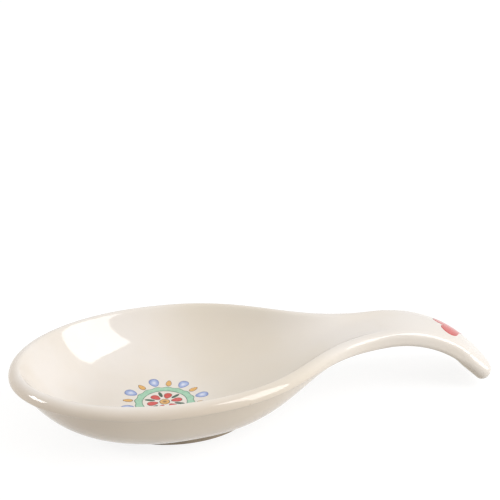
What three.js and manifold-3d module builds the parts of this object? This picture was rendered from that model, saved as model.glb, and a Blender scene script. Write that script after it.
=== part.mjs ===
// Spoon rest of glazed earthenware: an egg-shaped bowl on a low foot ring, drawn out into a waisted
// handle whose flared end hooks down. A heart and a round flower medallion are fired on as printed films.
// Millimetres, +Z up, +X from the bowl's nose to the handle's tip, origin at the bottom centre.
import * as THREE from 'three';
import { mergeVertices } from 'three/addons/utils/BufferGeometryUtils.js';
import Module from 'manifold-3d';

const { clamp, lerp, smoothstep, smootherstep, degToRad } = THREE.MathUtils;

// Plan of the rim, measured along the casting before its handle is bent
const NOSE = 75.8; // nose to the widest section
const BOWL_HALF_WIDTH = 57.3;
const NECK = 117; // widest section to the waist
const SHOULDER_EASE = 0.56; // how long the bowl's side stays full, as a share of the neck
const WAIST_EASE = 0.43; // how early the neck runs straight, as a share of the neck
const WAIST_HALF_WIDTH = 15.3;
const GRIP = 60.5; // waist to the tip
const FLARE_EASE = 0.56; // how late the grip widens, as a share of the flare
const FLARE_SETTLE = 0.25; // how early it runs straight again, as a share of the flare
const FLARE_LEAN = 0.13; // slope of the flared edges at the tip
const TIP_HALF_WIDTH = 20.3;
const TIP_CORNER = 4;
const TIP_CROWN = 3.4; // bow of the tip's end
const SPINE_SHORT = 12; // the spine stops this far short of the tip

// Side view: the rim is level, then the handle turns down
const HOOK_LEAD = 4.7; // the bend starts this far before the waist
const HOOK_RADIUS = 66.2;
const HOOK_ANGLE = 42.6; // degrees

// Thicknesses and depths of the casting
const LIP_CROWN = 4.8; // the bowl's round lip, from its outermost line up to its top
const LIP_DROP = 1; // and from that line down to its lower edge
const LIP_KEEPS = 34; // the lip stays full this far past the widest section
const GRIP_THICKNESS = 8.2;
const GRIP_EDGE = 3.2; // power of the round of the handle's edges, where the lip's is 2
const HANDLE_CROWN = 2.8; // the handle's middle stands this far above its edges
const CROWN_LEAD = 8; // the crown starts this far before the waist
const CROWN_GROWTH = 50; // and is full after this length
const TIP_PAD = 1.6; // extra thickness under the tip
const TIP_PAD_LENGTH = 21;
const TIP_PAD_EASE = 9;
const BOWL_DEPTH = 26.8; // lip's top to the floor
const FLOOR = 8.1;
const HOLLOW_PAST_WAIST = 12; // where the bowl's hollow has run out
const BELLY_PAST_WAIST = 1; // where the underside's belly has run out
const BELLY_FALL = 1.21; // how slowly the belly starts to rise
const INNER_START = 4.4; // the hollow starts this far in from the rim
const INNER_EASE = 1.5; // small round inside the lip
const INNER_POWER = 3.6;
const INNER_RUN = 59; // the floor is level once this far in
const LIP_UNDERCUT = 1.8; // the wall starts this far in under the lip
const OUTER_EASE = 2;
const OUTER_POWER = 4.2;

// Foot ring
const FOOT_HEIGHT = 2.6; // table to the belly
const FOOT_PAST_WIDEST = 7.8; // foot's centre past the widest section
const FOOT_HALF_LENGTH = 35;
const FOOT_HALF_WIDTH = 26;
const FOOT_RING = 5.5; // width of the ring's flat
const FOOT_COVER = 2; // glazed floor left over the ring's root

// Printed films
const FILM = 0.25;
const FILM_GAP = 0.3;
const HEART_FROM_TIP = 26.4; // heart's middle to the tip
const HEART_WIDTH = 20;
const HEART_LENGTH = 14.5;
const PETALS = 6;
const CENTRE_RADIUS = 2.6;
const PETAL_GAP = 0.7; // bare glaze between neighbouring prints
const PETAL_LENGTH = 5.6;
const PETAL_FULLNESS = 0.3; // how far the fuller end outgrows the other
const LEAF_FROM_CENTRE = 2.4;
const LEAF_LENGTH = 5.2;
const LEAF_WIDTH = 1.7;
const BAND_WIDTH = 3.8;
const BAND_SCALLOP = 0.35;
const BAND_SCALLOPS = 16;
const RAYS = 8; // blooms and as many buds between them
const BLOOM_LENGTH = 6.6;
const BLOOM_WIDTH = 5;
const BLOOM_FULLNESS = 0.25;
const BUD_LENGTH = 5;
const BUD_WIDTH = 2.8;
const BUD_FULLNESS = -0.2; // fuller towards the middle

// Facets
const RIM_STEPS = [20, 18, 9, 4, 4]; // nose, neck, flare, corner and end of one side
const RING_STEPS = 13; // rim to spine
const FOOT_STEPS = 24;
const PRINT_STEPS = 14;
const HEART_STEPS = 36;
const BAND_STEPS = 64;

const CREAM = 0xebe2d6;
const RED = 0xc9403c;
const OCHRE = 0xd19a4a;
const MINT = 0xb2c8b0;
const LEAF_GREEN = 0x3f5a41;
const PERIWINKLE = 0x9db0d6;
const GLAZE_ROUGHNESS = 0.15;
const PRINT_ROUGHNESS = 0.2;

const waistAt = NOSE + NECK;
const tipAt = waistAt + GRIP;
const hookAt = waistAt - HOOK_LEAD;
const hookTurn = degToRad(HOOK_ANGLE);
const rimHeight = FOOT_HEIGHT + FLOOR + BOWL_DEPTH - LIP_CROWN;
const crownAt = waistAt - CROWN_LEAD;
const spineEnd = tipAt - SPINE_SHORT;

// The rim's outline from nose to tip, one side of the plan

function rimOutline() {
  const cornerAt = tipAt - TIP_CROWN - TIP_CORNER;
  const flare = cornerAt - waistAt;
  const settle = FLARE_SETTLE * flare;
  const endHalf = TIP_HALF_WIDTH - TIP_CORNER;
  const cornerBow = 0.7 * TIP_CROWN; // the end's bow left after the corner
  const endFlat = 0.4 * endHalf; // the end's middle that is nearly straight
  const path = new THREE.Path();
  path.absellipse(NOSE, 0, NOSE, BOWL_HALF_WIDTH, Math.PI, Math.PI / 2, true);
  path.bezierCurveTo(
    NOSE + SHOULDER_EASE * NECK, BOWL_HALF_WIDTH,
    waistAt - WAIST_EASE * NECK, WAIST_HALF_WIDTH,
    waistAt, WAIST_HALF_WIDTH,
  );
  path.bezierCurveTo(
    waistAt + FLARE_EASE * flare, WAIST_HALF_WIDTH,
    cornerAt - settle, TIP_HALF_WIDTH - settle * FLARE_LEAN,
    cornerAt, TIP_HALF_WIDTH,
  );
  path.quadraticCurveTo(
    cornerAt + TIP_CORNER, TIP_HALF_WIDTH + TIP_CORNER * FLARE_LEAN,
    tipAt - cornerBow, endHalf,
  );
  path.quadraticCurveTo(tipAt, endFlat, tipAt, 0);
  const runs = path.curves.map((curve, i) => curve.getSpacedPoints(RIM_STEPS[i]).slice(i ? 1 : 0));
  return runs.flat();
}

const rim = rimOutline();

// A flat point is measured from the rim, straight out from the spine that runs through bowl and handle

const spineUnder = (s) => clamp(s, NOSE, spineEnd);

/** Rim point beyond a flat point, on the ray from its spine point, and the ray's squareness to the rim. */
function rimBeyond(s, y) {
  const from = spineUnder(s);
  const ray = new THREE.Vector2(s - from, Math.abs(y));
  if (ray.lengthSq() < 1e-12) ray.set(0, 1);
  for (let i = 1; i < rim.length; i++) {
    const [a, b] = [rim[i - 1], rim[i]];
    const edge = b.clone().sub(a);
    const start = new THREE.Vector2(a.x - from, a.y);
    const det = edge.cross(ray);
    const along = ray.cross(start) / det;
    const reach = edge.cross(start) / det;
    if (along >= -1e-9 && along <= 1 + 1e-9 && reach > 0) {
      const squareness = Math.abs(det) / (edge.length() * ray.length());
      return { station: a.x + along * edge.x, reach: reach * ray.length(), squareness };
    }
  }
  throw new Error(`no rim beyond ${s}, ${y}`);
}

// Thickness of the sheet, as heights above and below its middle

/** How far the bowl's lip has passed into the handle's edge along the neck, from 0 to 1. */
const gripShare = (s) => smoothstep(s, NOSE + LIP_KEEPS, waistAt);

const lipToGrip = (lip, s) => lerp(lip, GRIP_THICKNESS / 2, gripShare(s));

const handleCrown = (s) => HANDLE_CROWN * smoothstep(s, crownAt, crownAt + CROWN_GROWTH);

const tipShare = (s) => smoothstep(s + TIP_PAD_LENGTH - tipAt, -TIP_PAD_EASE / 2, TIP_PAD_EASE / 2);

const edgePower = (s) => lerp(2, GRIP_EDGE, gripShare(s) * (1 - tipShare(s)));

/** Round of the rim: 0 at the rim, the half thickness once that far in. A power of 2 is a circle. */
function rimRound(half, inward, power) {
  const short = 1 - Math.min(inward / half, 1);
  return half * (1 - short ** power) ** (1 / power);
}

/** Share of the full depth reached this far in from where the wall starts. */
function wallDepth(inward, full, start, ease, power) {
  const run = (d) => Math.hypot(Math.max(d - start, 0), ease) - ease;
  return 1 - (1 - clamp(run(inward) / run(full), 0, 1)) ** power;
}

function sheetOffsets(station, spine, inward, full) {
  const upper = lipToGrip(LIP_CROWN, station);
  const lower = lipToGrip(LIP_DROP, station);
  const hollowShare = 1 - smootherstep((spine - NOSE) / (NECK + HOLLOW_PAST_WAIST), 0, 1);
  const bellyRun = Math.max(spine - NOSE, 0) / (NECK + BELLY_PAST_WAIST);
  const bellyShare = 1 - smootherstep(bellyRun ** BELLY_FALL, 0, 1);
  const belly = (rimHeight - FOOT_HEIGHT - lower) * bellyShare;
  const crown = handleCrown(station) * (1 - (1 - inward / full) ** 2);
  const innerRun = Math.min(full, INNER_RUN);
  const power = edgePower(station);
  return {
    top: crown + rimRound(upper, inward, power)
      - hollowShare * BOWL_DEPTH * wallDepth(inward, innerRun, INNER_START, INNER_EASE, INNER_POWER),
    under: crown - rimRound(lower + TIP_PAD * tipShare(station), inward, power)
      - belly * wallDepth(inward, full, LIP_UNDERCUT, OUTER_EASE, OUTER_POWER),
  };
}

/** Places a flat point, with its height off the sheet's middle, on the bent handle. */
function bend(s, y, height) {
  const turn = clamp((s - hookAt) / HOOK_RADIUS, 0, hookTurn);
  const beyond = Math.max(s - hookAt - HOOK_RADIUS * hookTurn, 0);
  const x = Math.min(s, hookAt) + HOOK_RADIUS * Math.sin(turn) + beyond * Math.cos(hookTurn);
  const z = rimHeight - HOOK_RADIUS * (1 - Math.cos(turn)) - beyond * Math.sin(hookTurn);
  return new THREE.Vector3(x + height * Math.sin(turn), y, z + height * Math.cos(turn));
}

/** Point of the glazed top over a flat point. */
function topPoint(s, y) {
  const spine = spineUnder(s);
  const { station, reach, squareness } = rimBeyond(s, y);
  const inward = (reach - Math.hypot(s - spine, y)) * squareness;
  return bend(s, y, sheetOffsets(station, spine, Math.max(inward, 0), reach * squareness).top);
}

/** Point a small way above the glazed top, square to it. */
function aboveTop(s, y, lift) {
  const step = FILM; // fine enough to read the slope of the glaze
  const alongS = topPoint(s + step, y).sub(topPoint(s - step, y));
  const alongY = topPoint(s, y + step).sub(topPoint(s, y - step));
  return topPoint(s, y).addScaledVector(alongS.cross(alongY).normalize(), lift);
}

// Closed meshes from stacked rings of points

/** Skins rings of equal count, each counter-clockwise from above, in order over the top and back under. */
function skin(rings, closed = false) {
  const count = rings[0].length;
  const index = [];
  for (let k = 0; k < rings.length - (closed ? 0 : 1); k++) {
    const next = (k + 1) % rings.length;
    for (let i = 0; i < count; i++) {
      const j = (i + 1) % count;
      const [a, b, c, d] = [k * count + i, next * count + i, next * count + j, k * count + j];
      index.push(a, b, c, a, c, d);
    }
  }
  const geometry = new THREE.BufferGeometry().setFromPoints(rings.flat()).setIndex(index);
  return dropSlivers(mergeVertices(geometry));
}

function dropSlivers(geometry) {
  const corners = Array.from(geometry.index.array);
  const kept = [];
  for (let i = 0; i < corners.length; i += 3) {
    const [a, b, c] = corners.slice(i, i + 3);
    if (a !== b && b !== c && c !== a) kept.push(a, b, c);
  }
  return geometry.setIndex(kept);
}

const wasm = await Module();
wasm.setup();

function toSolid(geometry) {
  const bare = geometry.clone();
  bare.deleteAttribute('normal');
  bare.deleteAttribute('uv');
  const welded = dropSlivers(mergeVertices(bare));
  const vertProperties = Float32Array.from(welded.attributes.position.array);
  const triVerts = Uint32Array.from(welded.index.array);
  return new wasm.Manifold(new wasm.Mesh({ numProp: 3, vertProperties, triVerts }));
}

function toGeometry(solid) {
  const mesh = solid.getMesh();
  const geometry = new THREE.BufferGeometry();
  geometry.setAttribute('position', new THREE.BufferAttribute(mesh.vertProperties, 3));
  return geometry.setIndex(new THREE.BufferAttribute(mesh.triVerts, 1));
}

const group = new THREE.Group();

function addPiece(name, geometry, color, roughness) {
  geometry.computeVertexNormals();
  const mesh = new THREE.Mesh(geometry, new THREE.MeshStandardMaterial({ color, roughness, metalness: 0 }));
  mesh.name = name;
  group.add(mesh);
  return mesh;
}

// Ceramic body: bowl, lip, handle and foot ring are one casting

function castingRing(k, side) {
  const share = (k / RING_STEPS) ** 2;
  const nearSide = rim.map((p) => [p.x, -p.y]);
  const farSide = rim.slice(1, -1).reverse().map((p) => [p.x, p.y]);
  return [...nearSide, ...farSide].map(([s, y]) => {
    const spine = spineUnder(s);
    const flatS = lerp(s, spine, share);
    const flatY = lerp(y, 0, share);
    const { station, reach, squareness } = rimBeyond(lerp(s, spine, 0.5), y / 2);
    const full = reach * squareness;
    return bend(flatS, flatY, sheetOffsets(station, spine, full * share, full)[side]);
  });
}

function ceramicBody() {
  const over = Array.from({ length: RING_STEPS }, (_, k) => castingRing(RING_STEPS - k, 'top'));
  const edge = castingRing(0, 'top');
  const below = Array.from({ length: RING_STEPS }, (_, k) => castingRing(k + 1, 'under'));
  const casting = toSolid(skin([...over, edge, ...below]));
  return toGeometry(casting.add(toSolid(footRing())));
}

function footRing() {
  const inner = new THREE.Path();
  const outer = new THREE.Shape();
  const footAt = NOSE + FOOT_PAST_WIDEST;
  outer.absellipse(footAt, 0, FOOT_HALF_LENGTH, FOOT_HALF_WIDTH, 0, 2 * Math.PI);
  inner.absellipse(footAt, 0, FOOT_HALF_LENGTH - FOOT_RING, FOOT_HALF_WIDTH - FOOT_RING, 0, 2 * Math.PI);
  outer.holes.push(inner);
  const depth = FOOT_HEIGHT + FLOOR - FOOT_COVER;
  return new THREE.ExtrudeGeometry(outer, { depth, bevelEnabled: false, curveSegments: FOOT_STEPS });
}

const body = addPiece('ceramic_body', ceramicBody(), CREAM, GLAZE_ROUGHNESS);

// Printed films: thin colour areas that follow the glaze

/** Film over flat rings that run from the middle, or from an inner edge, out to the print's outline. */
function film(flatRings, closed = false) {
  const lifted = (lift) => flatRings.map((ring) => ring.map(([s, y]) => aboveTop(s, y, lift)));
  return skin([...lifted(FILM_GAP + FILM), ...lifted(FILM_GAP).reverse()], closed);
}

const addPrint = (name, geometry, color) => addPiece(name, geometry, color, PRINT_ROUGHNESS);

/** Rings that shrink an outline towards its middle. */
function towardsMiddle(outline, middle, shares) {
  const shrink = (share) => ([s, y]) => [lerp(middle[0], s, share), lerp(middle[1], y, share)];
  return shares.map((share) => outline.map(shrink(share)));
}

function addHeart() {
  const middle = tipAt - HEART_FROM_TIP;
  const outline = Array.from({ length: HEART_STEPS }, (_, i) => {
    const t = (2 * Math.PI * i) / HEART_STEPS;
    const across = Math.sin(t) ** 3;
    const lobes = 13 * Math.cos(t) - 5 * Math.cos(2 * t) - 2 * Math.cos(3 * t) - Math.cos(4 * t);
    const along = (lobes + 2.5) / 29; // a heart's lobes and point, one long and about its middle
    return [middle - along * HEART_LENGTH, (-across * HEART_WIDTH) / 2];
  });
  addPrint('heart_print', film(towardsMiddle(outline, [middle, 0], [0, 0.5, 1])), RED);
}

/** Flat place at a radius and bearing from the middle of the medallion, moved sideways. */
function onMedallion(radius, across, bearing) {
  const [c, s] = [Math.cos(bearing), Math.sin(bearing)];
  return [NOSE + radius * c - across * s, radius * s + across * c];
}

/** A drop-shaped print whose fuller end points out, at one bearing on the medallion. */
function dropPrint(start, length, width, fullness, bearing) {
  const outline = Array.from({ length: PRINT_STEPS }, (_, i) => {
    const t = (2 * Math.PI * i) / PRINT_STEPS;
    const radius = start + (length * (1 - Math.cos(t))) / 2;
    const across = (-width / 2) * Math.sin(t) * (1 - fullness * Math.cos(t));
    return onMedallion(radius, across, bearing);
  });
  return film(towardsMiddle(outline, onMedallion(start + length / 2, 0, bearing), [0, 1]));
}

function addMedallion() {
  const petalStart = CENTRE_RADIUS + PETAL_GAP;
  const fullestAt = petalStart + (PETAL_LENGTH * (1 + PETAL_FULLNESS)) / 2;
  const petalWidth = 2 * (fullestAt * Math.sin(Math.PI / PETALS) - LEAF_WIDTH / 2 - PETAL_GAP);
  const leafStart = CENTRE_RADIUS + LEAF_FROM_CENTRE;
  const bandStart = Math.max(petalStart + PETAL_LENGTH, leafStart + LEAF_LENGTH) + PETAL_GAP;
  const rayStart = bandStart + BAND_WIDTH + BAND_SCALLOP + PETAL_GAP;
  const turn = 2 * Math.PI;

  const circle = (steps, radiusAt) => Array.from({ length: steps }, (_, i) => {
    const bearing = (turn * i) / steps;
    return onMedallion(radiusAt(bearing), 0, bearing);
  });
  const dot = circle(PRINT_STEPS, () => CENTRE_RADIUS);
  addPrint('centre_print', film(towardsMiddle(dot, onMedallion(0, 0, 0), [0, 1])), OCHRE);
  for (let i = 0; i < PETALS; i++) {
    const bearing = (turn * i) / PETALS;
    const between = bearing + turn / PETALS / 2;
    const petal = dropPrint(petalStart, PETAL_LENGTH, petalWidth, PETAL_FULLNESS, bearing);
    const leaf = dropPrint(leafStart, LEAF_LENGTH, LEAF_WIDTH, 0, between);
    addPrint(`petal_print_${i + 1}`, petal, RED);
    addPrint(`leaf_print_${i + 1}`, leaf, LEAF_GREEN);
  }

  const scallop = (bearing) => bandStart + BAND_WIDTH + BAND_SCALLOP * Math.cos(BAND_SCALLOPS * bearing);
  const bandRings = [circle(BAND_STEPS, () => bandStart), circle(BAND_STEPS, scallop)];
  addPrint('band_print', film(bandRings, true), MINT);

  for (let i = 0; i < RAYS; i++) {
    const bearing = (turn * i) / RAYS;
    const between = bearing + turn / RAYS / 2;
    const bloom = dropPrint(rayStart, BLOOM_LENGTH, BLOOM_WIDTH, BLOOM_FULLNESS, bearing);
    const bud = dropPrint(rayStart, BUD_LENGTH, BUD_WIDTH, BUD_FULLNESS, between);
    addPrint(`bloom_print_${i + 1}`, bloom, PERIWINKLE);
    addPrint(`bud_print_${i + 1}`, bud, OCHRE);
  }
}

addHeart();
addMedallion();

// The origin is at the bottom centre, so the whole part moves back by the body's middle

body.geometry.computeBoundingBox();
group.position.x = -body.geometry.boundingBox.getCenter(new THREE.Vector3()).x;

export default group;
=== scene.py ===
from math import comb, cos, pi, radians, sin

import bpy
import numpy as np
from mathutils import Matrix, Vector


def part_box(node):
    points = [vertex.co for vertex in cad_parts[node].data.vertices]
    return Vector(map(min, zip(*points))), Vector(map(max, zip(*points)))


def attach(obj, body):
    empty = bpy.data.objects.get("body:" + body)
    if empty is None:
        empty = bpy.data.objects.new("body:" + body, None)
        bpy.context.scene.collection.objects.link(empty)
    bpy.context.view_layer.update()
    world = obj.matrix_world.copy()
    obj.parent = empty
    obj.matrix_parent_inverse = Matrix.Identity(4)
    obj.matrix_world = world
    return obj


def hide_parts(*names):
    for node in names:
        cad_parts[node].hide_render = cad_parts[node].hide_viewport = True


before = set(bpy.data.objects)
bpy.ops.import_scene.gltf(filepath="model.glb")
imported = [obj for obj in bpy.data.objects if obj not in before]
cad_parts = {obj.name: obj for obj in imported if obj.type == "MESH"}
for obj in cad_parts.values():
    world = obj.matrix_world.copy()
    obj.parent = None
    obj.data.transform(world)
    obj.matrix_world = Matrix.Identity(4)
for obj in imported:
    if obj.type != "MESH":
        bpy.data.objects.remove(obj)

scene = bpy.context.scene
scene.view_settings.view_transform = "Standard"
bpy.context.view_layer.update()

# Ceramic casting
# The bowl, its rolled lip and the hooked handle are one slip-cast shell of pale earthenware.
# It is dipped in a cream glaze, fired to a gloss, that thins tan over the lip; painted shade warms the slope
# towards the handle, deepens the outside and the foot and adds to the lip's tan.

MM = 0.001
NOSE = 75.8 * MM  # nose to the widest place
BOWL_HALF_WIDTH = 57.3 * MM
NECK = 117 * MM  # widest place to the waist
SHOULDER_EASE = 0.56
WAIST_EASE = 0.43
WAIST_HALF_WIDTH = 15.3 * MM
GRIP = 60.5 * MM  # waist to the tip
FLARE_EASE = 0.56
FLARE_SETTLE = 0.25
FLARE_LEAN = 0.13
TIP_HALF_WIDTH = 20.3 * MM
TIP_CORNER = 4 * MM
TIP_CROWN = 3.4 * MM
CORNER_BOW = 0.7  # share of the crown that is left after the corner
END_FLAT = 0.4  # share of the end that is nearly straight
SPINE_SHORT = 12 * MM  # the spine stops this far before the tip
HOOK_LEAD = 4.7 * MM
HOOK_RADIUS = 66.2 * MM
HOOK_ANGLE = radians(42.6)
LIP_CROWN = 4.8 * MM  # the lip's outermost line up to its top
LIP_DROP = 1 * MM  # and down to its lower edge
LIP_KEEPS = 34 * MM
GRIP_THICKNESS = 8.2 * MM
GRIP_EDGE = 3.2  # power of the round of the handle's edges, where the lip's is 2
HANDLE_CROWN = 2.8 * MM  # the handle's middle stands this far above its edges
CROWN_LEAD = 8 * MM
CROWN_GROWTH = 50 * MM
TIP_PAD = 1.6 * MM
TIP_PAD_LENGTH = 21 * MM
TIP_PAD_EASE = 9 * MM
BOWL_DEPTH = 26.8 * MM
FLOOR_THICKNESS = 8.1 * MM
HOLLOW_PAST_WAIST = 12 * MM
BELLY_PAST_WAIST = 1 * MM
BELLY_FALL = 1.21
INNER_WALL = {"start": 4.4 * MM, "soft": 1.5 * MM, "power": 3.6}
INNER_RUN = 59 * MM  # the floor is level once this far in
OUTER_WALL = {"start": 1.8 * MM, "soft": 2 * MM, "power": 4.2}
FOOT_HEIGHT = 2.6 * MM
RIM_STEPS = (70, 80, 44, 14, 12)  # along the nose, shoulder, flare, corner and end
RING_STEPS = 74  # from the rim to the spine
WELD = 0.0005 * MM  # points closer than this are one

waist_at = NOSE + NECK
tip_at = waist_at + GRIP
hook_at = waist_at - HOOK_LEAD
crown_at = waist_at - CROWN_LEAD
spine_end = tip_at - SPINE_SHORT
rim_height = FOOT_HEIGHT + FLOOR_THICKNESS + BOWL_DEPTH - LIP_CROWN
nose_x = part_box("ceramic_body")[0][0]


def bezier(steps, *controls):
    """Points along a Bezier curve: the control points weighted by Bernstein polynomials."""
    u = np.linspace(0, 1, steps + 1)[:, None]
    n = len(controls) - 1
    return sum(comb(n, k) * u**k * (1 - u) ** (n - k) * np.array(c) for k, c in enumerate(controls))


def rim_outline():
    """One side of the rim in plan, from nose to tip: a quarter ellipse round the nose, an S-curve in to
    the waist, a flare out to the end, a small corner and half of the crowned end."""
    corner_at = tip_at - TIP_CROWN - TIP_CORNER
    flare = corner_at - waist_at
    settle = FLARE_SETTLE * flare
    end_half = TIP_HALF_WIDTH - TIP_CORNER
    bow = (tip_at - CORNER_BOW * TIP_CROWN, end_half)
    turn = np.linspace(pi, pi / 2, RIM_STEPS[0] + 1)
    nose = NOSE + NOSE * np.cos(turn), BOWL_HALF_WIDTH * np.sin(turn)
    runs = [
        np.stack(nose, axis=1),
        bezier(RIM_STEPS[1], (NOSE, BOWL_HALF_WIDTH), (NOSE + SHOULDER_EASE * NECK, BOWL_HALF_WIDTH),
               (waist_at - WAIST_EASE * NECK, WAIST_HALF_WIDTH), (waist_at, WAIST_HALF_WIDTH)),
        bezier(RIM_STEPS[2], (waist_at, WAIST_HALF_WIDTH), (waist_at + FLARE_EASE * flare, WAIST_HALF_WIDTH),
               (corner_at - settle, TIP_HALF_WIDTH - settle * FLARE_LEAN), (corner_at, TIP_HALF_WIDTH)),
        bezier(RIM_STEPS[3], (corner_at, TIP_HALF_WIDTH),
               (corner_at + TIP_CORNER, TIP_HALF_WIDTH + TIP_CORNER * FLARE_LEAN), bow),
        bezier(RIM_STEPS[4], bow, (tip_at, END_FLAT * end_half), (tip_at, 0)),
    ]
    return np.concatenate([run[1 if i else 0:] for i, run in enumerate(runs)])


def spine_under(s):
    """Station on the spine that a flat point is measured from."""
    return np.clip(s, NOSE, spine_end)


def ray_key(s, y):
    """One rising number for the ray through a flat point: its bearing round the bowl's middle, then the
    station along the spine, then the bearing round the spine's end."""
    spine = spine_under(s)
    return spine + pi / 2 - np.arctan2(np.abs(y) + 1e-12, s - spine)


rim = rim_outline()
rim_ray = np.stack([rim[:, 0] - spine_under(rim[:, 0]), rim[:, 1]], axis=1)
rim_reach = np.hypot(*rim_ray.T)
rim_tangent = np.gradient(rim, axis=0)
rim_cross = rim_ray[:, 0] * rim_tangent[:, 1] - rim_ray[:, 1] * rim_tangent[:, 0]
rim_square = np.abs(rim_cross) / (rim_reach * np.hypot(*rim_tangent.T))
rim_key = ray_key(*rim.T)


def ease(x):
    """Cubic ease from 0 to 1."""
    x = np.clip(x, 0, 1)
    return x * x * (3 - 2 * x)


def soft_ease(x):
    """Quintic ease from 0 to 1, level in slope and bend at both ends."""
    x = np.clip(x, 0, 1)
    return x**3 * (x * (6 * x - 15) + 10)


def rim_round(half, inward, power):
    """Height of the rim's round: 0 at the rim, the half thickness once that far in. A power of 2 makes it a
    circle, and a higher power a squarer curve."""
    return half * (1 - (1 - np.minimum(inward / half, 1)) ** power) ** (1 / power)


def wall_depth(inward, full, start, soft, power):
    """Share of the full depth this far in: a power curve over a run that begins softly at the start."""
    run = np.hypot(np.maximum(inward - start, 0), soft) - soft
    whole = np.hypot(full - start, soft) - soft
    return 1 - (1 - np.clip(run / whole, 0, 1)) ** power


def sheet(s, y):
    """Heights of the top and the underside off the sheet's middle, and the distance in from the rim.
    Each is the rim's round, less the hollow above or the belly below, which grow inwards from the rim
    and fade along the spine towards the handle, plus the handle's crown, a parabola from edge to edge."""
    spine = spine_under(s)
    key = ray_key(s, y)
    reach = np.interp(key, rim_key, rim_reach)
    square = np.interp(key, rim_key, rim_square)
    station = np.interp(key, rim_key, rim[:, 0])
    full = reach * square
    inward = np.maximum(reach - np.hypot(s - spine, y), 0) * square
    thinning = ease((station - NOSE - LIP_KEEPS) / (NECK - LIP_KEEPS))
    upper = LIP_CROWN + (GRIP_THICKNESS / 2 - LIP_CROWN) * thinning
    lower = LIP_DROP + (GRIP_THICKNESS / 2 - LIP_DROP) * thinning
    tip = ease((station + TIP_PAD_LENGTH - tip_at) / TIP_PAD_EASE + 0.5)
    power = 2 + (GRIP_EDGE - 2) * thinning * (1 - tip)
    past = (spine - NOSE) / (NECK + BELLY_PAST_WAIST)
    belly = (rim_height - FOOT_HEIGHT - lower) * (1 - soft_ease(past**BELLY_FALL))
    hollow = BOWL_DEPTH * (1 - soft_ease((spine - NOSE) / (NECK + HOLLOW_PAST_WAIST)))
    crown = HANDLE_CROWN * ease((station - crown_at) / CROWN_GROWTH) * (1 - (1 - inward / full) ** 2)
    sunk = hollow * wall_depth(inward, np.minimum(full, INNER_RUN), **INNER_WALL)
    top = crown + rim_round(upper, inward, power) - sunk
    edge = rim_round(lower + TIP_PAD * tip, inward, power)
    under = crown - edge - belly * wall_depth(inward, full, **OUTER_WALL)
    return top, under, inward


def bend(s, y, height):
    """Places flat points, at a height off the sheet's middle, on a handle that hooks down along an arc."""
    turn = np.clip((s - hook_at) / HOOK_RADIUS, 0, HOOK_ANGLE)
    beyond = np.maximum(s - hook_at - HOOK_RADIUS * HOOK_ANGLE, 0)
    x = np.minimum(s, hook_at) + HOOK_RADIUS * np.sin(turn) + beyond * cos(HOOK_ANGLE)
    z = rim_height - HOOK_RADIUS * (1 - np.cos(turn)) - beyond * sin(HOOK_ANGLE)
    return np.stack([nose_x + x + height * np.sin(turn), y, z + height * np.cos(turn)], axis=-1)


def skin(rows, wrap):
    """Triangles over rows of points that each run round, with points in the same place welded.
    Returns the points, the triangles and the grid place that each point was taken from."""
    count, width = rows.shape[:2]
    k, i = np.meshgrid(np.arange(count if wrap else count - 1), np.arange(width), indexing="ij")
    k, i = k.ravel(), i.ravel()
    next_k, next_i = (k + 1) % count, (i + 1) % width
    a, b, c, d = k * width + i, next_k * width + i, next_k * width + next_i, k * width + next_i
    triangles = np.concatenate([np.stack([a, b, c], axis=1), np.stack([a, c, d], axis=1)])
    points = rows.reshape(-1, 3)
    _, taken, place = np.unique(np.round(points / WELD), axis=0, return_index=True, return_inverse=True)
    triangles = place.ravel()[triangles]
    thin = (triangles == np.roll(triangles, 1, axis=1)).any(axis=1)
    return points[taken], triangles[~thin], taken


def add_piece(name, rows, finish, slot, nodes=(), wrap=False, **marks):
    """Adds a closed piece that stands for those solids, with each mark as a point attribute."""
    points, triangles, taken = skin(rows, wrap)
    mesh = bpy.data.meshes.new(name)
    mesh.from_pydata(points.tolist(), [], triangles.tolist(), shade_flat=False)
    for label, values in marks.items():
        layer = mesh.attributes.new(label, "FLOAT", "POINT")
        layer.data.foreach_set("value", values.ravel()[taken].astype(np.float32))
    mesh.materials.append(finish)
    piece = bpy.data.objects.new(name, mesh)
    scene.collection.objects.link(piece)
    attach(piece, "root")
    if nodes:
        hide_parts(*nodes)
    return piece


def paint(red, green, blue):
    """Linear colour of a paint that is named by its screen values, 0 to 255."""
    screen = np.array([red, green, blue]) / 255
    linear = np.where(screen <= 0.04045, screen / 12.92, ((screen + 0.055) / 1.055) ** 2.4)
    return (*linear.tolist(), 1.0)


def add_node(tree, kind, inputs=(), **settings):
    """Adds a shader node. An input that is a socket gets linked, and any other is set as its value."""
    node = tree.nodes.new(kind)
    for name, value in settings.items():
        setattr(node, name, value)
    for name, value in dict(inputs).items():
        if isinstance(value, bpy.types.NodeSocket):
            tree.links.new(value, node.inputs[name])
        else:
            node.inputs[name].default_value = value
    return node


def noise(tree, place, scale, detail=2.0, roughness=0.5):
    """Grey noise over that place, with features of 1/scale metres."""
    inputs = {"Vector": place, "Scale": scale, "Detail": detail, "Roughness": roughness}
    return add_node(tree, "ShaderNodeTexNoise", inputs).outputs["Fac"]


def between(tree, value, low, high, to_low=0.0, to_high=1.0):
    """Eased step of a value from one level to another."""
    inputs = {"Value": value, "From Min": low, "From Max": high, "To Min": to_low, "To Max": to_high}
    return add_node(tree, "ShaderNodeMapRange", inputs, interpolation_type="SMOOTHSTEP").outputs["Result"]


def mixed(tree, factor, first, second):
    """Two colours mixed by a factor."""
    node = add_node(tree, "ShaderNodeMix", data_type="RGBA")
    for name, value in ((0, factor), (6, first), (7, second)):
        if isinstance(value, bpy.types.NodeSocket):
            tree.links.new(value, node.inputs[name])
        else:
            node.inputs[name].default_value = value
    return node.outputs[2]


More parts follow.
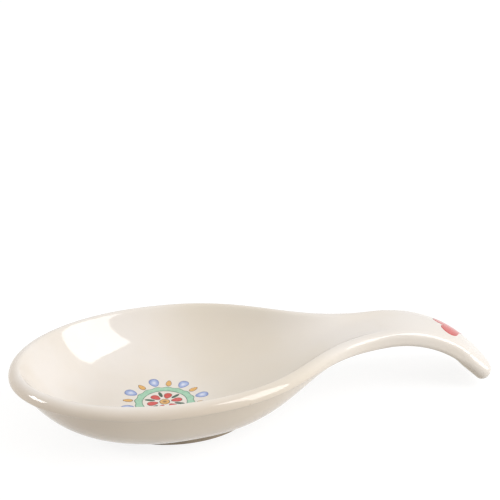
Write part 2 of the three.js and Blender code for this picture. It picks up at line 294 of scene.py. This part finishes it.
def calc(tree, operation, *values):
    """One arithmetic step on values or sockets."""
    return add_node(tree, "ShaderNodeMath", dict(enumerate(values)), operation=operation).outputs[0]


def mark(tree, name):
    """A piece's own point attribute."""
    return add_node(tree, "ShaderNodeAttribute", attribute_name=name).outputs["Fac"]


GLAZE_CREAM = paint(227, 221, 215)
GLAZE_WARM = paint(223, 213, 199)
# painted shade: the warmer tone of the bowl's slope towards the handle, which faces away from the key
# softbox
GLAZE_SLOPE_SHADE = paint(211, 201, 184)
# painted shade: the deeper colour of the outside walls, which face down
GLAZE_OUTSIDE_SHADE = paint(219, 206, 188)
# LIP_TAN: tan over the lip, partly thinned glaze and partly painted shade; on the outside at the nose it is
# painted shade, in the foot's bare biscuit the clay's own colour
LIP_TAN = paint(204, 188, 168)
# painted shade: the foot ring's darker tan, as it stands in shade under the belly
FOOT_SHADE_TAN = paint(172, 152, 124)
SPECK_BROWN = paint(150, 126, 98)
BISCUIT = paint(214, 200, 178)
GLAZE_IOR = 1.52
CLOUDS = 32  # a noise's count of features per metre, as for the next ones
GRAINS = 330
LIP_WANDER = 110
GLOSS_PATCHES = 60
RIPPLES = 55
PEEL = 800
WIPED_EDGE = 260
SAND = 2600
RIPPLE_HEIGHT = 0.05 * MM
PEEL_HEIGHT = 0.003 * MM
WIPED_SWING = 0.5 * MM  # how far the wiped edge wanders up
WIPED_HEIGHT = (0.1 * MM, 0.25 * MM)
CLOUD_SHARE = 0.45  # how far each tone goes over to its own colour
SLOPE_SHADE_SHARE = 0.6
NOSE_SHADE_SHARE = 0.9
FOOT_SHADE_SHARE = 0.85
SPECK_SHARE = 0.35
SAND_SHARE = 0.35
TAN_SHARE = 0.65
OUTSIDE_FROM = (-2.5, 1.5)  # millimetres in from the rim, less than 0 underneath
TAN_REACH = (0.4, 5.8)  # millimetres either way from the rim
TAN_SWING = 1.6
GLOSS = (0.05, 0.09)  # least and most roughness
BARE_ROUGHNESS = 0.75  # what bare biscuit adds to it
SLOPE_SHADE_GROWS = (NOSE, NOSE + 0.3 * NECK)  # stations from the nose, as for the next ones
SLOPE_SHADE_ENDS = (NOSE + 0.4 * NECK, NOSE + 0.85 * NECK)
NOSE_SHADE_SIDE = (0.25 * NOSE, 0.7 * NOSE)
TAN_ENDS = (NOSE, NOSE + 0.6 * NECK)


def glaze_finish(name, foot=False):
    """Fired glaze: cream with slow warm clouds and rare small specks, and a gloss with a faint ripple. On
    the casting painted shade makes it warmer on the bowl's slope towards the handle and deeper outside, most
    of all at the nose, and it is tan over the lip, partly thinned glaze and partly painted shade. The foot's
    is deeper still by painted shade, with a wiped edge of bare biscuit."""
    material = bpy.data.materials.new(name)
    material.use_nodes = True
    tree = material.node_tree
    shader = tree.nodes["Principled BSDF"]
    place = add_node(tree, "ShaderNodeTexCoord").outputs["Object"]
    axes = add_node(tree, "ShaderNodeSeparateXYZ", {"Vector": place}).outputs
    clouds = between(tree, noise(tree, place, CLOUDS, 3), 0.35, 0.7, 0.0, CLOUD_SHARE)
    colour = mixed(tree, clouds, GLAZE_CREAM, GLAZE_WARM)
    if foot:
        # painted shade: the foot ring is darkened towards tan, as it stands in shade under the belly
        colour = mixed(tree, FOOT_SHADE_SHARE, colour, FOOT_SHADE_TAN)
    else:
        station = calc(tree, "SUBTRACT", axes["X"], nose_x)
        over = mark(tree, "over")
        # painted shade: a warmer tone over the bowl's slope towards the handle, away from the key softbox
        slope_shade_grows = between(tree, station, *SLOPE_SHADE_GROWS, 0.0, SLOPE_SHADE_SHARE)
        slope_shade_ends = between(tree, station, *SLOPE_SHADE_ENDS, 1.0, 0.0)
        colour = mixed(tree, calc(tree, "MULTIPLY", slope_shade_grows, slope_shade_ends), colour, GLAZE_SLOPE_SHADE)
        # painted shade: a deeper, warmer colour on the outside walls that face down, most of all at the nose
        outside_shade = mixed(tree, between(tree, station, *NOSE_SHADE_SIDE, NOSE_SHADE_SHARE, 0.0), GLAZE_OUTSIDE_SHADE, LIP_TAN)
        colour = mixed(tree, between(tree, over, *OUTSIDE_FROM, 1.0, 0.0), colour, outside_shade)
    grains = add_node(tree, "ShaderNodeTexVoronoi", {"Vector": place, "Scale": GRAINS})
    chosen = between(tree, grains.outputs["Color"], 0.9, 0.93)
    small = between(tree, grains.outputs["Distance"], 0.1, 0.2, SPECK_SHARE, 0.0)
    colour = mixed(tree, calc(tree, "MULTIPLY", chosen, small), colour, SPECK_BROWN)
    gloss = between(tree, noise(tree, place, GLOSS_PATCHES, 3), 0.3, 0.7, *GLOSS)
    if foot:
        ragged = calc(tree, "MULTIPLY", noise(tree, place, WIPED_EDGE), WIPED_SWING)
        bare = between(tree, calc(tree, "SUBTRACT", axes["Z"], ragged), *WIPED_HEIGHT, 1.0, 0.0)
        sand = between(tree, noise(tree, place, SAND), 0.3, 0.7, 0.0, SAND_SHARE)
        colour = mixed(tree, bare, colour, mixed(tree, sand, BISCUIT, LIP_TAN))
        gloss = calc(tree, "ADD", gloss, calc(tree, "MULTIPLY", bare, BARE_ROUGHNESS))
    else:
        # tan over the lip: partly the glaze thinning over the edge and partly painted shade on the lip's
        # roll, fading towards the handle
        wander = calc(tree, "MULTIPLY", noise(tree, place, LIP_WANDER), TAN_SWING)
        near_rim = calc(tree, "ADD", calc(tree, "ABSOLUTE", over), wander)
        thin = between(tree, near_rim, *TAN_REACH, TAN_SHARE, 0.0)
        tan_ends = between(tree, station, *TAN_ENDS, 1.0, 0.0)
        colour = mixed(tree, calc(tree, "MULTIPLY", thin, tan_ends), colour, LIP_TAN)
    ripple = add_node(tree, "ShaderNodeBump", {"Height": noise(tree, place, RIPPLES, 1), "Strength": 1.0,
                                               "Distance": RIPPLE_HEIGHT})
    peel = add_node(tree, "ShaderNodeBump", {"Height": noise(tree, place, PEEL, 1), "Strength": 1.0,
                                             "Distance": PEEL_HEIGHT, "Normal": ripple.outputs["Normal"]})
    tree.links.new(colour, shader.inputs["Base Color"])
    tree.links.new(gloss, shader.inputs["Roughness"])
    tree.links.new(peel.outputs["Normal"], shader.inputs["Normal"])
    shader.inputs["IOR"].default_value = GLAZE_IOR
    return material


def casting_rows():
    """Rings from the top's spine out over the rim and back under to the spine, each once round the plan.
    Rings crowd towards the rim by the square of their count, so that they step evenly round the lip.
    Each point's mark is its distance in from the rim in millimetres, counted below zero underneath."""
    near_side = rim * (1, -1)
    plan = np.concatenate([near_side, rim[-2:0:-1]])
    share = (np.arange(RING_STEPS + 1) / RING_STEPS)[:, None] ** 2
    s = plan[:, 0] + (spine_under(plan[:, 0]) - plan[:, 0]) * share
    y = plan[:, 1] * (1 - share)
    top, under, inward = sheet(s, y)
    above, below = bend(s, y, top), bend(s, y, under)
    return np.concatenate([above[::-1], below[1:]]), np.concatenate([inward[::-1], -inward[1:]]) / MM


body_rows, body_over = casting_rows()
add_piece("ceramic_casting", body_rows, glaze_finish("cream_glaze"), "glaze",
          nodes=["ceramic_body"], over=body_over)

# Foot ring
# The casting stands on a low oval ring that is part of the same mould, with a soft fillet up to the belly.
# Its standing edge is wiped clean before the glaze firing, so the bare biscuit shows there.

FOOT_PAST_WIDEST = 7.8 * MM
FOOT_HALF_LENGTH = 35 * MM
FOOT_HALF_WIDTH = 26 * MM
FOOT_RING = 5.5 * MM
FOOT_EDGE = 0.9 * MM  # radius of its standing edges
FOOT_FILLET = 1.2 * MM  # radius where it meets the belly
FOOT_ROOT = 0.6 * MM  # depth to which it is sunk into the belly
FOOT_TURNS = 220
FOOT_ARC_STEPS = 8


def foot_rows():
    """The ring's section carried round an ellipse. Down each side it runs as a hollow fillet off the belly,
    a wall and a quarter-round edge, and its two sides mirror each other about the middle of the ring."""
    arc = np.linspace(0, pi / 2, FOOT_ARC_STEPS + 1)
    half = FOOT_RING / 2
    fillet_out = half + FOOT_FILLET * (1 - np.sin(arc))
    fillet_drop = FOOT_FILLET * (1 - np.cos(arc))
    edge_out = half - FOOT_EDGE * (1 - np.cos(arc))
    edge_height = FOOT_EDGE * (1 - np.sin(arc))
    out = np.concatenate([[half + FOOT_FILLET], fillet_out, edge_out])
    out = np.concatenate([out, -out[::-1]])[:, None]
    turn = np.linspace(0, 2 * pi, FOOT_TURNS, endpoint=False)
    long_way, wide_way = FOOT_HALF_LENGTH - half, FOOT_HALF_WIDTH - half
    square = np.stack([np.cos(turn) * wide_way, np.sin(turn) * long_way])
    square /= np.hypot(*square)
    s = NOSE + FOOT_PAST_WIDEST + long_way * np.cos(turn) + out * square[0]
    y = wide_way * np.sin(turn) + out * square[1]
    belly = rim_height + sheet(s, y)[1]
    below_belly = np.concatenate([[-FOOT_ROOT], fillet_drop])
    side = np.concatenate([belly[:len(below_belly)] - below_belly[:, None],
                           np.broadcast_to(edge_height[:, None], (len(edge_height), FOOT_TURNS))])
    other = np.concatenate([np.broadcast_to(edge_height[::-1, None], (len(edge_height), FOOT_TURNS)),
                            belly[-len(below_belly):] - below_belly[::-1, None]])
    height = np.concatenate([side, other])
    return np.stack([nose_x + s, y, height], axis=-1)[::-1]


add_piece("foot_ring", foot_rows(), glaze_finish("foot_glaze", foot=True), "glaze", wrap=True)

# Heart print
# One red heart is printed on the hook of the handle with its point to the tip, and fired under the gloss.
# It is a film of ceramic colour too thin to feel, a little deeper along its edge.

FILM_LIFT = 0.07 * MM
FILM_SUNK = 0.05 * MM
SLOPE_STEP = 0.25 * MM  # used to read the slope of the glaze
HEART_FROM_TIP = 26.4 * MM
HEART_WIDTH = 20 * MM
HEART_LENGTH = 14.5 * MM
HEART_STEPS = 140
HEART_RINGS = 22
PRINT_RED = paint(206, 72, 66)
PRINT_RED_DEEP = paint(188, 54, 50)
WASH_PATCHES = 420
LINE_WANDER = 700
LINE_SWING = 0.1  # shares of the way out to the edge, as for the next two
LINE_SOFT = 0.06
PALE_MIDDLE = (0.1, 0.62)
POOL_DEEP = 0.45
PALE_SHARE = 0.75
PRINT_ROUGHNESS = 0.09


def glazed_top(s, y, lift):
    """Points a small way off the glazed top, along the normal read from its slopes."""
    def on_top(s, y):
        return bend(s, y, sheet(s, y)[0])
    along = on_top(s + SLOPE_STEP, y) - on_top(s - SLOPE_STEP, y)
    across = on_top(s, y + SLOPE_STEP) - on_top(s, y - SLOPE_STEP)
    normal = np.cross(along, across)
    return on_top(s, y) + lift * normal / np.linalg.norm(normal, axis=-1, keepdims=True)


def film_rows(s, y):
    """A film's upper side over rings that run outwards, then its lower side back again."""
    return np.concatenate([glazed_top(s, y, FILM_LIFT), glazed_top(s, y, -FILM_SUNK)[::-1]])


def both_sides(values):
    """A mark on a film's rings, for its upper and its lower side."""
    return np.concatenate([values, values[::-1]])


def filled(outline, middle, rings):
    """Rings that grow from a middle point to an outline, with each ring's share of the way."""
    share = np.linspace(0, 1, rings + 1)[:, None]
    s = middle[0] + (outline[0] - middle[0]) * share
    y = middle[1] + (outline[1] - middle[1]) * share
    return s, y, np.broadcast_to(share, s.shape)


def print_finish(name, fill, deep, line, line_from, light=None):
    """Ceramic print colour under the gloss: a fill that pools deeper in patches and towards its edge, a
    paler middle where there is one, and a thin drawn line round it."""
    material = bpy.data.materials.new(name)
    material.use_nodes = True
    tree = material.node_tree
    shader = tree.nodes["Principled BSDF"]
    place = add_node(tree, "ShaderNodeTexCoord").outputs["Object"]
    share = mark(tree, "share")
    wash = between(tree, noise(tree, place, WASH_PATCHES, 3, 0.6), 0.3, 0.72)
    pool = calc(tree, "MULTIPLY", calc(tree, "ADD", wash, between(tree, share, 0.5, 1.0)), POOL_DEEP)
    colour = mixed(tree, pool, fill, deep)
    if light:
        colour = mixed(tree, between(tree, share, *PALE_MIDDLE, PALE_SHARE, 0.0), colour, light)
    wander = calc(tree, "MULTIPLY", noise(tree, place, LINE_WANDER), LINE_SWING)
    drawn = between(tree, calc(tree, "ADD", share, wander), line_from, line_from + LINE_SOFT)
    colour = mixed(tree, drawn, colour, line)
    tree.links.new(colour, shader.inputs["Base Color"])
    shader.inputs["Roughness"].default_value = PRINT_ROUGHNESS
    shader.inputs["IOR"].default_value = GLAZE_IOR
    return material


def heart_outline():
    """A heart by the sines and cosines of one angle, its point towards the tip. The sum of cosines runs from
    -17 to 12, so it is divided by 29 to be one long."""
    t = np.linspace(0, 2 * pi, HEART_STEPS, endpoint=False)
    lobes = 13 * np.cos(t) - 5 * np.cos(2 * t) - 2 * np.cos(3 * t) - np.cos(4 * t)
    along = (lobes + 2.5) / 29
    return tip_at - HEART_FROM_TIP - along * HEART_LENGTH, -np.sin(t) ** 3 * HEART_WIDTH / 2


heart_s, heart_y, heart_share = filled(heart_outline(), (tip_at - HEART_FROM_TIP, 0), HEART_RINGS)
heart_red = print_finish("heart_red", PRINT_RED, PRINT_RED_DEEP, PRINT_RED_DEEP, 1.0)
add_piece("heart_film", film_rows(heart_s, heart_y), heart_red, "print_red", nodes=["heart_print"],
          share=both_sides(heart_share))

# Medallion prints
# A flower medallion is printed on the bowl's floor: an ochre eye, red petals with green leaves between
# them, a scalloped mint band, and a border of blue blooms and ochre buds, each with a thin drawn line.

PETALS = 6
CENTRE_RADIUS = 2.6 * MM
PETAL_GAP = 0.7 * MM
PETAL_LENGTH = 5.6 * MM
PETAL_FULLNESS = 0.3
LEAF_FROM_CENTRE = 2.4 * MM
LEAF_LENGTH = 5.2 * MM
LEAF_WIDTH = 1.7 * MM
BAND_WIDTH = 3.8 * MM
BAND_SCALLOP = 0.35 * MM
BAND_SCALLOPS = 16
RAYS = 8
BLOOM_LENGTH = 6.6 * MM
BLOOM_WIDTH = 5 * MM
BLOOM_FULLNESS = 0.25
BUD_LENGTH = 5 * MM
BUD_WIDTH = 2.8 * MM
BUD_FULLNESS = -0.2
PRINT_STEPS = 72
PRINT_RINGS = 12
BAND_STEPS = 320
PRINT_OCHRE = paint(218, 168, 92)
PRINT_BROWN = paint(96, 62, 40)
PRINT_GREEN = paint(58, 98, 74)
PRINT_GREEN_DEEP = paint(34, 62, 48)
PRINT_MINT = paint(164, 205, 178)
PRINT_MINT_DEEP = paint(118, 172, 144)
PRINT_BLUE = paint(168, 184, 222)
PRINT_BLUE_DEEP = paint(112, 130, 184)
PRINT_PALE = paint(222, 224, 236)

petal_start = CENTRE_RADIUS + PETAL_GAP
petal_fullest = petal_start + PETAL_LENGTH * (1 + PETAL_FULLNESS) / 2
petal_width = 2 * (petal_fullest * sin(pi / PETALS) - LEAF_WIDTH / 2 - PETAL_GAP)
leaf_start = CENTRE_RADIUS + LEAF_FROM_CENTRE
band_start = max(petal_start + PETAL_LENGTH, leaf_start + LEAF_LENGTH) + PETAL_GAP
ray_start = band_start + BAND_WIDTH + BAND_SCALLOP + PETAL_GAP


def on_medallion(radius, across, bearing):
    """Flat place at a radius and bearing from the medallion's middle, moved sideways."""
    along, aside = np.cos(bearing), np.sin(bearing)
    return NOSE + radius * along - across * aside, radius * aside + across * along


def add_drop(name, node, slot, finish, start, length, width, fullness, bearing):
    """A drop-shaped film that points out from the medallion's middle: an oval that is fuller at one end."""
    t = np.linspace(0, 2 * pi, PRINT_STEPS, endpoint=False)
    radius = start + length * (1 - np.cos(t)) / 2
    across = -width / 2 * np.sin(t) * (1 - fullness * np.cos(t))
    outline = on_medallion(radius, across, bearing)
    s, y, share = filled(outline, on_medallion(start + length / 2, 0, bearing), PRINT_RINGS)
    add_piece(name, film_rows(s, y), finish, slot, nodes=[node], share=both_sides(share))


eye = print_finish("eye_ochre", PRINT_OCHRE, PRINT_OCHRE, PRINT_BROWN, 0.9, light=PRINT_BROWN)
add_drop("centre_film", "centre_print", "print_ochre", eye,
         -CENTRE_RADIUS, 2 * CENTRE_RADIUS, 2 * CENTRE_RADIUS, 0, 0)

petal_red = print_finish("petal_red", PRINT_RED, PRINT_RED_DEEP, PRINT_BROWN, 0.94)
leaf_green = print_finish("leaf_green", PRINT_GREEN, PRINT_GREEN_DEEP, PRINT_GREEN_DEEP, 0.86)
for i in range(PETALS):
    petal_bearing = 2 * pi * i / PETALS
    leaf_bearing = petal_bearing + pi / PETALS
    add_drop(f"petal_film_{i + 1}", f"petal_print_{i + 1}", "print_red", petal_red,
             petal_start, PETAL_LENGTH, petal_width, PETAL_FULLNESS, petal_bearing)
    add_drop(f"leaf_film_{i + 1}", f"leaf_print_{i + 1}", "print_green", leaf_green,
             leaf_start, LEAF_LENGTH, LEAF_WIDTH, 0, leaf_bearing)


def band_film():
    """The band's rings from its plain inner edge out to its scalloped outer edge, and each ring's share."""
    turn = np.linspace(0, 2 * pi, BAND_STEPS, endpoint=False)
    share = np.linspace(0, 1, PRINT_RINGS + 1)[:, None]
    width = BAND_WIDTH + BAND_SCALLOP * np.cos(BAND_SCALLOPS * turn)
    s, y = on_medallion(band_start + width * share, 0, turn)
    return s, y, np.broadcast_to(np.abs(2 * share - 1), s.shape)


band_s, band_y, band_share = band_film()
band_mint = print_finish("band_mint", PRINT_MINT, PRINT_MINT_DEEP, PRINT_GREEN, 0.9)
add_piece("band_film", film_rows(band_s, band_y), band_mint, "print_mint", nodes=["band_print"], wrap=True,
          share=both_sides(band_share))

bloom_blue = print_finish("bloom_blue", PRINT_BLUE, PRINT_BLUE_DEEP, PRINT_BLUE_DEEP, 0.92,
                          light=PRINT_PALE)
bud_ochre = print_finish("bud_ochre", PRINT_OCHRE, PRINT_OCHRE, PRINT_BROWN, 0.9)
for i in range(RAYS):
    bloom_bearing = 2 * pi * i / RAYS
    bud_bearing = bloom_bearing + pi / RAYS
    add_drop(f"bloom_film_{i + 1}", f"bloom_print_{i + 1}", "print_blue", bloom_blue,
             ray_start, BLOOM_LENGTH, BLOOM_WIDTH, BLOOM_FULLNESS, bloom_bearing)
    add_drop(f"bud_film_{i + 1}", f"bud_print_{i + 1}", "print_ochre", bud_ochre,
             ray_start, BUD_LENGTH, BUD_WIDTH, BUD_FULLNESS, bud_bearing)

# Table and backdrop
# The rest stands on a plain white table in front of white, which both keep the same white to the eye,
# and the table still takes the soft shadow of the bowl and the handle.

TABLE_SIZE = 8.0
TABLE_WHITE = 0.68
TABLE_SEEN = 0.2  # what the eye sees of the table is this much lit paint
TABLE_GLOW = 0.86  # and this much plain white, which keeps its shadows light
WORLD_LOW = 0.33  # the room's spread light at the horizon
WORLD_HIGH = 0.7  # and overhead
WORLD_WARM = (1, 0.98, 0.945, 1)  # its colour where it spreads
WHITE = (1, 1, 1, 1)


def seen_directly(tree):
    """1 for rays from the eye or a mirror-like or clear surface, 0 for light that spreads."""
    path = add_node(tree, "ShaderNodeLightPath").outputs
    seen = calc(tree, "MAXIMUM", path["Is Camera Ray"], path["Is Glossy Ray"])
    return calc(tree, "MAXIMUM", seen, path["Is Transmission Ray"])


def table_finish():
    """White table paint, of which direct sight gets a part as plain white."""
    material = bpy.data.materials.new("table_white")
    material.use_nodes = True
    tree = material.node_tree
    shader = tree.nodes["Principled BSDF"]
    shader.inputs["Roughness"].default_value = 0.9
    shader.inputs["Specular IOR Level"].default_value = 0.0
    shader.inputs["Emission Color"].default_value = WHITE
    seen = seen_directly(tree)
    white = between(tree, seen, 0, 1, TABLE_WHITE, TABLE_SEEN)
    tree.links.new(white, shader.inputs["Base Color"])
    tree.links.new(calc(tree, "MULTIPLY", seen, TABLE_GLOW), shader.inputs["Emission Strength"])
    return material


edge = TABLE_SIZE / 2
table_corners = [(-edge, -edge, 0), (edge, -edge, 0), (edge, edge, 0), (-edge, edge, 0)]
table_mesh = bpy.data.meshes.new("table")
table_mesh.from_pydata(table_corners, [], [(0, 1, 2, 3)])
table_mesh.materials.append(table_finish())
table = bpy.data.objects.new("table", table_mesh)
scene.collection.objects.link(table)

world = bpy.data.worlds.new("white_room")
scene.world = world
world.use_nodes = True
sky = world.node_tree
sky_seen = seen_directly(sky)
sky_shader = sky.nodes["Background"]
sky.links.new(mixed(sky, sky_seen, WORLD_WARM, WHITE), sky_shader.inputs["Color"])
sky_way = add_node(sky, "ShaderNodeTexCoord").outputs["Generated"]
sky_rise = add_node(sky, "ShaderNodeSeparateXYZ", {"Vector": sky_way}).outputs["Z"]
sky_light = between(sky, sky_rise, 0, 1, WORLD_LOW, WORLD_HIGH)
sky.links.new(calc(sky, "MAXIMUM", sky_light, sky_seen), sky_shader.inputs["Strength"])

# Studio lamps
# A tall softbox stands to the right and in front of the rest, and mirrors in the bowl as a white window.
# A small one stands low to the left and gives the glint on the lip of the nose.

LAMP_MIDDLE = Vector((-0.012, 0, 0.025))  # what the lamps face


def add_softbox(name, bearing, rise, distance, size, energy):
    """A rectangular lamp at a bearing and rise from the object's middle, which it faces."""
    data = bpy.data.lights.new(name, "AREA")
    data.shape = "RECTANGLE"
    data.size, data.size_y = size
    data.energy = energy
    lamp = bpy.data.objects.new(name, data)
    away = Vector((cos(rise) * cos(bearing), cos(rise) * sin(bearing), sin(rise)))
    lamp.location = LAMP_MIDDLE + away * distance
    lamp.rotation_euler = away.to_track_quat("Z", "Y").to_euler()
    lamp.visible_camera = False
    scene.collection.objects.link(lamp)


add_softbox("key_softbox", bearing=radians(-36), rise=radians(31.8), distance=2.0,
            size=(1.06, 1.76), energy=32)
add_softbox("side_softbox", bearing=radians(167), rise=radians(25), distance=1.0,
            size=(0.28, 0.28), energy=3)

# Camera
# It stands in front of the bowl and a little towards its nose, looking down at the rest from low above,
# with the rest in the lower half of the picture.

IMAGE_WIDTH = 500
FOCAL_PIXELS = 1769.5
CAMERA_BEARING = radians(-18.63)
CAMERA_RISE = radians(27.34)
CAMERA_DISTANCE = 0.8807
CAMERA_MIDDLE = Vector((nose_x + 120 * MM, 0, 20 * MM))
PICTURE_LIFT = 60.53 * MM  # the camera aims this far above the middle

level_back = Vector((sin(CAMERA_BEARING), -cos(CAMERA_BEARING), 0))
back = level_back * cos(CAMERA_RISE) + Vector((0, 0, sin(CAMERA_RISE)))
right = Vector((cos(CAMERA_BEARING), sin(CAMERA_BEARING), 0))
picture_up = back.cross(right)
eye_place = CAMERA_MIDDLE + back * CAMERA_DISTANCE
aim = CAMERA_MIDDLE + picture_up * PICTURE_LIFT
camera_data = bpy.data.cameras.new("camera")
camera_data.sensor_width = 36
camera_data.lens = FOCAL_PIXELS / IMAGE_WIDTH * camera_data.sensor_width
camera = bpy.data.objects.new("camera", camera_data)
camera.location = eye_place
camera.rotation_euler = (eye_place - aim).to_track_quat("Z", "Y").to_euler()
scene.collection.objects.link(camera)
scene.camera = camera
